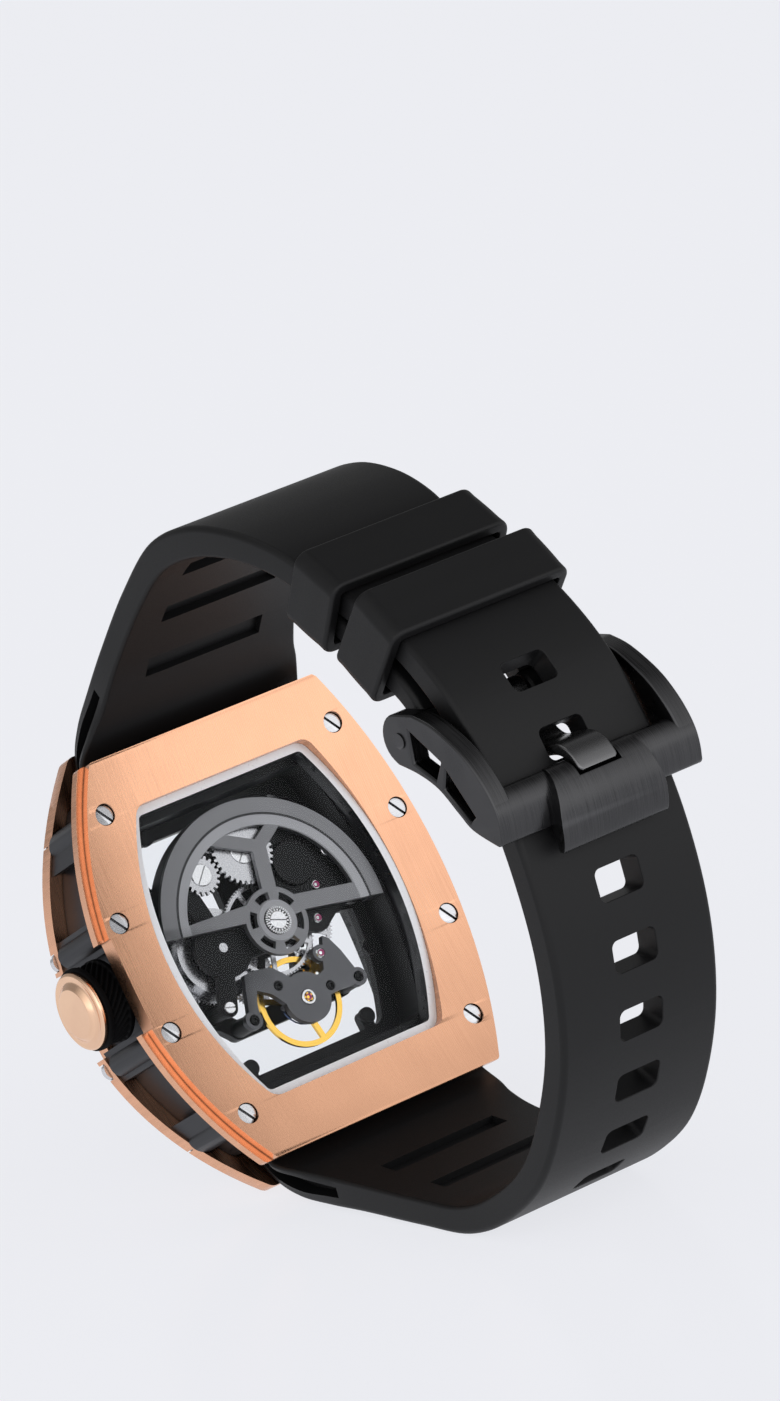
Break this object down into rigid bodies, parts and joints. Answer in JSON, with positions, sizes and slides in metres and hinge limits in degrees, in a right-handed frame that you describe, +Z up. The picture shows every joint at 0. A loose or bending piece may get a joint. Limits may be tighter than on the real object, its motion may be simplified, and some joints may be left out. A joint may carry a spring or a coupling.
{
  "type": "skeleton wristwatch",
  "caption": "Skeleton automatic wristwatch with a tonneau case, see-through back, winding rotor and a fastened rubber strap.",
  "frame": {"origin": "on the table under the middle of the whole watch's bounding box", "axes": "+X towards the crown side, +Y out of the case back towards the buckle, +Z up; the case leans 24.3 degrees, so its own 12 o'clock lies between +Z and -Y"},
  "size_m": [0.0452, 0.0776, 0.0733],
  "materials": {
    "rose_gold": "brushed rose gold plating",
    "glass": "polished",
    "gasket": "pale satin",
    "screw_steel": "brushed",
    "case_black": "black satin",
    "grey_metal": "matte grey",
    "heavy_metal": "matte dark grey",
    "wheel_steel": "polished",
    "wheel_brass": "polished",
    "spring_blue": "blued",
    "jewel": "polished ruby",
    "dial": "satin brown",
    "rubber": "matte black",
    "buckle_black": "black brushed coating"
  },
  "bodies": {
    "watch": {"back_bezel": "rose_gold", "back_gasket": "gasket", "back_crystal": "glass", "back_screws": "screw_steel", "case_middle": "case_black", "front_bezel": "rose_gold", "front_gasket": "gasket", "front_crystal": "glass", "front_screws": "screw_steel", "crown_tube": "case_black", "movement_ring": "case_black", "main_plate": "case_black", "barrel_bridge": "case_black", "train_bridge": "case_black", "balance_cock": "grey_metal", "bridge_screws": "screw_steel", "jewels": "jewel", "hairspring": "spring_blue", "rotor_bearing": "screw_steel", "dial_ring": "dial", "strap_short": "rubber", "strap_long": "rubber", "strap_bars": "screw_steel", "keeper_fixed": "rubber"},
    "setting": {"setting_slide": "screw_steel"},
    "crown": {"crown_cap": "rose_gold", "crown_grip": "rubber", "crown_ring": "rose_gold", "crown_stem": "screw_steel"},
    "rotor": {"rotor_web": "grey_metal", "rotor_weight": "heavy_metal", "rotor_screw": "screw_steel"},
    "ratchet": {"ratchet_wheel": "wheel_steel"},
    "crown_gear": {"crown_wheel": "wheel_steel"},
    "winding_gear": {"winding_wheel": "wheel_steel"},
    "minutes": {"center_wheel": "wheel_brass", "cannon_pinion": "wheel_steel", "minute_hand": "wheel_steel"},
    "barrel": {"mainspring_barrel": "wheel_steel"},
    "third": {"third_wheel": "wheel_brass"},
    "fourth": {"fourth_wheel": "wheel_brass"},
    "fifth": {"fifth_wheel": "wheel_brass"},
    "escapement": {"escape_wheel": "wheel_steel"},
    "minute_gear": {"minute_wheel": "wheel_brass"},
    "hours": {"hour_wheel": "wheel_brass", "hour_hand": "wheel_steel"},
    "balance": {"balance_wheel": "wheel_brass"},
    "pallets": {"pallet_fork": "wheel_steel"},
    "keeper": {"keeper_sliding": "rubber"},
    "buckle": {"buckle_frame": "buckle_black", "buckle_bar": "screw_steel"},
    "tongue": {"buckle_tongue": "buckle_black"}
  },
  "joints": [
    {"name": "crown_pull", "type": "slide", "parent": "watch", "child": "setting", "axis": [1, 0, 0], "range_m": [0, 0.001]},
    {"name": "crown_turn", "type": "hinge", "parent": "setting", "child": "crown", "pos_m": [0.01875, -0.0276, 0.02325], "axis": [1, 0, 0], "continuous": true},
    {"name": "rotor_spin", "type": "hinge", "parent": "watch", "child": "rotor", "pos_m": [-0.00125, -0.02316, 0.02558], "axis": [0, 0.9114, 0.4115], "continuous": true},
    {"name": "ratchet_turn", "type": "hinge", "parent": "watch", "child": "ratchet", "pos_m": [-0.00145, -0.02722, 0.03275], "axis": [0, 0.9114, 0.4115], "continuous": true},
    {"name": "crown_wheel_turn", "type": "hinge", "parent": "watch", "child": "crown_gear", "pos_m": [0.00436, -0.02693, 0.0321], "axis": [0, 0.9114, 0.4115], "continuous": true},
    {"name": "winding_turn", "type": "hinge", "parent": "watch", "child": "winding_gear", "pos_m": [-0.00669, -0.02592, 0.02988], "axis": [0, 0.9114, 0.4115], "continuous": true},
    {"name": "minutes_turn", "type": "hinge", "parent": "watch", "child": "minutes", "pos_m": [-0.00125, -0.02586, 0.02403], "axis": [0, 0.9114, 0.4115], "continuous": true},
    {"name": "barrel_turn", "type": "hinge", "parent": "watch", "child": "barrel", "pos_m": [0.00525, -0.02586, 0.02403], "axis": [0, 0.9114, 0.4115], "continuous": true},
    {"name": "third_turn", "type": "hinge", "parent": "watch", "child": "third", "pos_m": [-0.00516, -0.02765, 0.028], "axis": [0, 0.9114, 0.4115], "continuous": true},
    {"name": "fourth_turn", "type": "hinge", "parent": "watch", "child": "fourth", "pos_m": [-0.00827, -0.02682, 0.02616], "axis": [0, 0.9114, 0.4115], "continuous": true},
    {"name": "fifth_turn", "type": "hinge", "parent": "watch", "child": "fifth", "pos_m": [-0.00673, -0.02546, 0.02315], "axis": [0, 0.9114, 0.4115], "continuous": true},
    {"name": "escape_turn", "type": "hinge", "parent": "watch", "child": "escapement", "pos_m": [-0.00517, -0.02402, 0.01996], "axis": [0, 0.9114, 0.4115], "continuous": true},
    {"name": "minute_wheel_turn", "type": "hinge", "parent": "watch", "child": "minute_gear", "pos_m": [0.0007, -0.02766, 0.01952], "axis": [0, 0.9114, 0.4115], "continuous": true},
    {"name": "hours_turn", "type": "hinge", "parent": "watch", "child": "hours", "pos_m": [-0.00125, -0.02951, 0.02239], "axis": [0, 0.9114, 0.4115], "continuous": true},
    {"name": "balance_swing", "type": "hinge", "parent": "watch", "child": "balance", "pos_m": [-0.00145, -0.02249, 0.01656], "axis": [0, 0.9114, 0.4115], "range_deg": [-270, 270], "stiffness_Nm_per_rad": 0.0000006},
    {"name": "pallet_rock", "type": "hinge", "parent": "watch", "child": "pallets", "pos_m": [-0.00324, -0.02323, 0.01819], "axis": [0, 0.9114, 0.4115], "range_deg": [-6, 6]},
    {"name": "keeper_slide", "type": "slide", "parent": "watch", "child": "keeper", "axis": [0, 0.8581, -0.5135], "range_m": [-0.002, 0.001]},
    {"name": "buckle_swing", "type": "hinge", "parent": "watch", "child": "buckle", "pos_m": [-0.00125, 0.02411, 0.05406], "axis": [1, 0, 0], "range_deg": [0, 3]},
    {"name": "tongue_swing", "type": "hinge", "parent": "buckle", "child": "tongue", "pos_m": [-0.00125, 0.02411, 0.05406], "axis": [1, 0, 0], "range_deg": [0, 2.5]}
  ],
  "couplings": [
    {"joint": "ratchet_turn", "follows": "crown_turn", "ratio": 0.5},
    {"joint": "crown_wheel_turn", "follows": "crown_turn", "ratio": -0.82353},
    {"joint": "winding_turn", "follows": "crown_turn", "ratio": -0.73684},
    {"joint": "barrel_turn", "follows": "minutes_turn", "ratio": -0.25},
    {"joint": "third_turn", "follows": "minutes_turn", "ratio": -8},
    {"joint": "fourth_turn", "follows": "minutes_turn", "ratio": 42.667},
    {"joint": "fifth_turn", "follows": "minutes_turn", "ratio": -196.27},
    {"joint": "escape_turn", "follows": "minutes_turn", "ratio": 1090.4},
    {"joint": "minute_wheel_turn", "follows": "minutes_turn", "ratio": -0.25},
    {"joint": "hours_turn", "follows": "minutes_turn", "ratio": 0.083333},
    {"joint": "pallet_rock", "follows": "balance_swing", "ratio": 0.02}
  ]
}
